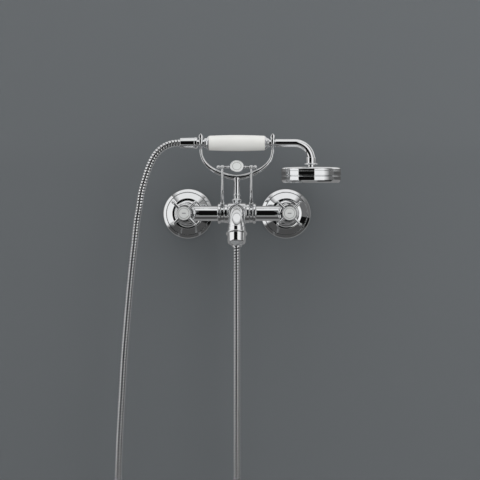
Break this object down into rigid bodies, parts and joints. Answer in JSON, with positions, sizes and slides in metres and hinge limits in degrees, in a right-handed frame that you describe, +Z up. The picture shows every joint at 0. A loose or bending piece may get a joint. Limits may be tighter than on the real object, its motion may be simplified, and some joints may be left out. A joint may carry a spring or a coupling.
{
  "type": "bath shower mixer",
  "caption": "Exposed wall mixer for a bath: cross handles, curved spout, bail diverter, and a hand shower with a white grip in a forked cradle on a ribbed metal hose",
  "frame": {"origin": "middle of the two wall inlets, on the finished wall face", "axes": "+X to the right as seen from the front, +Y into the wall, +Z up; the mixer's front faces -Y"},
  "size_m": [0.3307, 0.1763, 0.6448],
  "materials": {
    "chrome": "polished",
    "porcelain": "gloss",
    "enamel": "gloss",
    "brass": "satin",
    "rubber": "matte",
    "disc": "satin",
    "plastic": "satin",
    "hose_metal": "polished"
  },
  "bodies": {
    "mixer": {"hot_s_union": "brass", "cold_s_union": "brass", "hot_rosette": "chrome", "cold_rosette": "chrome", "hot_union_nut": "chrome", "cold_union_nut": "chrome", "union_gaskets": "rubber", "check_valves": "plastic", "hot_arm": "chrome", "cold_arm": "chrome", "centre_body": "chrome", "hot_headwork": "brass", "cold_headwork": "brass", "seat_seals": "rubber", "fixed_discs": "disc", "hot_bonnet": "chrome", "cold_bonnet": "chrome", "spout": "chrome", "aerator_housing": "chrome", "aerator_insert": "plastic", "aerator_seal": "rubber", "column_foot": "chrome", "column": "chrome", "cradle": "chrome", "left_fork": "chrome", "right_fork": "chrome", "hose_outlet": "chrome", "outlet_hose_nut": "chrome", "outlet_washer": "rubber", "hose": "hose_metal"},
    "hot_valve": {"hot_handle": "chrome", "hot_index_plate": "enamel", "hot_handle_screw": "brass", "hot_spindle": "brass", "hot_moving_disc": "disc"},
    "cold_valve": {"cold_handle": "chrome", "cold_index_plate": "enamel", "cold_handle_screw": "brass", "cold_spindle": "brass", "cold_moving_disc": "disc"},
    "diverter": {"left_collar": "chrome", "right_collar": "chrome", "left_rod": "chrome", "right_rod": "chrome", "cross_bar": "chrome", "knob": "chrome", "knob_plate": "enamel", "diverter_rotor": "brass", "drive_pins": "brass", "rotor_seals": "rubber"},
    "handset": {"handset_tube": "chrome", "grip": "porcelain", "hose_ferrule": "chrome", "head_ferrule": "chrome", "head_collar": "chrome", "head_shell": "chrome", "spray_plate": "chrome", "spray_nozzles": "rubber", "handset_hose_nut": "chrome", "handset_washer": "rubber"}
  },
  "joints": [
    {"name": "hot_turn", "type": "hinge", "parent": "mixer", "child": "hot_valve", "pos_m": [-0.075, -0.1, 0.006], "axis": [0, -1, 0], "range_deg": [0, 90]},
    {"name": "cold_turn", "type": "hinge", "parent": "mixer", "child": "cold_valve", "pos_m": [0.075, -0.1, 0.006], "axis": [0, 1, 0], "range_deg": [0, 90]},
    {"name": "bail_swing", "type": "hinge", "parent": "mixer", "child": "diverter", "pos_m": [0, -0.058, 0.006], "axis": [1, 0, 0], "range_deg": [0, 45]},
    {"name": "handset_lift", "type": "slide", "parent": "mixer", "child": "handset", "axis": [0, 0, 1], "range_m": [0, 0.035], "deforming": ["hose"]}
  ]
}
